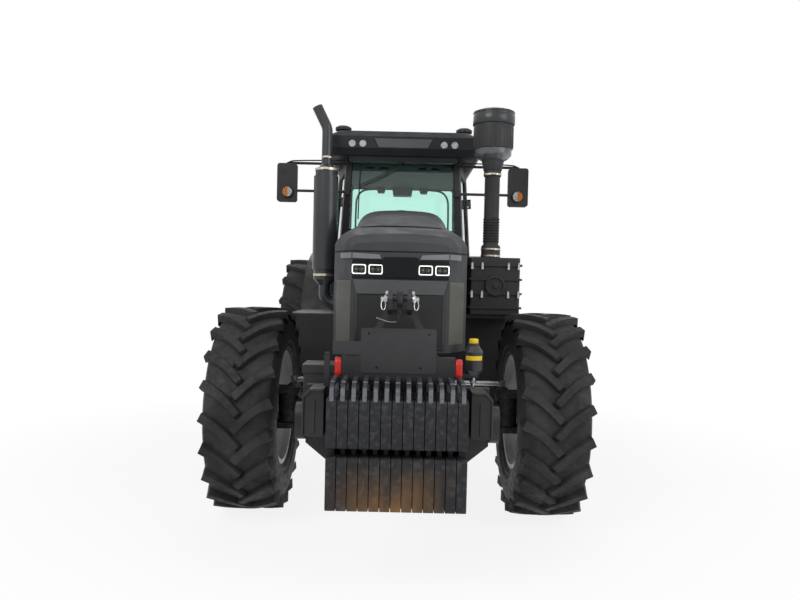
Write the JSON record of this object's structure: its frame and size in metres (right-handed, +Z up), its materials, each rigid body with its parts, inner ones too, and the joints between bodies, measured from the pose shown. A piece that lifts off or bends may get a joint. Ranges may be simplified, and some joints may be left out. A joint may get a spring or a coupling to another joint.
{
  "type": "farm tractor",
  "caption": "Four-wheel-drive farm tractor with a front ballast pack, tilting hood, glazed cab with opening doors, tall side exhaust and a rear three-point hitch.",
  "frame": {"origin": "on the ground, in the middle of the tractor's length and width", "axes": "+Z up, the front faces -Y, +X is the tractor's left side"},
  "size_m": [2.48, 5.57, 3.0902],
  "materials": {
    "body_paint": "gloss",
    "frame_paint": "satin",
    "rim_paint": "satin",
    "hook_paint": "satin",
    "cast": "rough",
    "tyre": "matte",
    "black_plastic": "matte",
    "clear_dome": "gloss",
    "steel": "brushed",
    "glass": "gloss",
    "lamp": "gloss",
    "seat_fabric": "woven",
    "mesh": "satin",
    "plate": "satin"
  },
  "bodies": {
    "chassis": {"front_frame": "frame_paint", "engine_block": "cast", "gearbox_and_rear_axle": "cast", "front_axle": "cast", "ballast_carrier": "frame_paint", "weights_upper": "cast", "weights_lower": "cast", "blank_plate": "plate", "tow_hooks": "hook_paint", "exhaust": "body_paint", "air_cleaner": "black_plastic", "precleaner": "clear_dome", "accumulator": "body_paint", "battery_box": "black_plastic", "fuel_tanks": "black_plastic", "steps": "frame_paint", "cab_frame": "body_paint", "cab_roof": "body_paint", "cab_glass": "glass", "work_lamps": "lamp", "roof_antennas": "black_plastic", "mirrors": "black_plastic", "seat": "seat_fabric", "steering_console": "black_plastic", "rear_fenders": "black_plastic", "drawbar": "frame_paint", "rear_top_link": "steel"},
    "knuckle_left": {"knuckle_left": "cast"},
    "knuckle_right": {"knuckle_right": "cast"},
    "tie_rod": {"tie_rod": "steel"},
    "door_left": {"door_left": "body_paint", "door_glass_left": "glass"},
    "door_right": {"door_right": "body_paint", "door_glass_right": "glass"},
    "hood": {"hood": "body_paint", "grille": "mesh", "headlamps": "lamp"},
    "lower_links": {"lower_links": "frame_paint"},
    "lift_arms": {"lift_arms": "frame_paint"},
    "lift_rods": {"lift_rods": "steel"},
    "wheel_front_left": {"front_tyre_left": "tyre", "front_rim_left": "rim_paint"},
    "wheel_front_right": {"front_tyre_right": "tyre", "front_rim_right": "rim_paint"},
    "wheel_rear_left": {"rear_tyre_left": "tyre", "rear_rim_left": "rim_paint"},
    "wheel_rear_right": {"rear_tyre_right": "tyre", "rear_rim_right": "rim_paint"}
  },
  "joints": [
    {"name": "steer_left", "type": "hinge", "parent": "chassis", "child": "knuckle_left", "pos_m": [0.78, -1.265, 0.71], "axis": [0, 0, 1], "range_deg": [-40, 40]},
    {"name": "steer_right", "type": "hinge", "parent": "chassis", "child": "knuckle_right", "pos_m": [-0.78, -1.265, 0.71], "axis": [0, 0, 1], "range_deg": [-40, 40]},
    {"name": "tie_rod_swing", "type": "hinge", "parent": "knuckle_left", "child": "tie_rod", "pos_m": [0.78, -0.995, 0.864], "axis": [0, 0, 1], "range_deg": [-40, 40]},
    {"name": "wheel_front_left_spin", "type": "hinge", "parent": "knuckle_left", "child": "wheel_front_left", "pos_m": [1.005, -1.265, 0.71], "axis": [1, 0, 0], "continuous": true},
    {"name": "wheel_front_right_spin", "type": "hinge", "parent": "knuckle_right", "child": "wheel_front_right", "pos_m": [-1.005, -1.265, 0.71], "axis": [1, 0, 0], "continuous": true},
    {"name": "wheel_rear_left_spin", "type": "hinge", "parent": "chassis", "child": "wheel_rear_left", "pos_m": [0.97, 1.685, 0.93], "axis": [1, 0, 0], "continuous": true},
    {"name": "wheel_rear_right_spin", "type": "hinge", "parent": "chassis", "child": "wheel_rear_right", "pos_m": [-0.97, 1.685, 0.93], "axis": [1, 0, 0], "continuous": true},
    {"name": "door_left_hinge", "type": "hinge", "parent": "chassis", "child": "door_left", "pos_m": [0.69115, 0.68095, 2.01492], "axis": [-0.0683, 0, 0.9977], "range_deg": [0, 75]},
    {"name": "door_right_hinge", "type": "hinge", "parent": "chassis", "child": "door_right", "pos_m": [-0.69115, 0.68095, 2.01492], "axis": [-0.0683, 0, -0.9977], "range_deg": [0, 75]},
    {"name": "hood_tilt", "type": "hinge", "parent": "chassis", "child": "hood", "pos_m": [0, -0.405, 2.1023], "axis": [-1, 0, 0], "range_deg": [0, 50]},
    {"name": "hitch_lift", "type": "hinge", "parent": "chassis", "child": "lower_links", "pos_m": [0, 1.915, 0.6], "axis": [1, 0, 0], "range_deg": [-20, 35]},
    {"name": "lift_arm_turn", "type": "hinge", "parent": "chassis", "child": "lift_arms", "pos_m": [0, 1.915, 1.08], "axis": [1, 0, 0], "range_deg": [-20, 35]},
    {"name": "lift_rod_swing", "type": "hinge", "parent": "lift_arms", "child": "lift_rods", "pos_m": [0, 2.335, 1.08], "axis": [1, 0, 0], "range_deg": [-35, 20]}
  ],
  "couplings": [
    {"joint": "steer_right", "follows": "steer_left", "ratio": 1},
    {"joint": "tie_rod_swing", "follows": "steer_left", "ratio": -1},
    {"joint": "lift_arm_turn", "follows": "hitch_lift", "ratio": 1},
    {"joint": "lift_rod_swing", "follows": "hitch_lift", "ratio": -1}
  ]
}
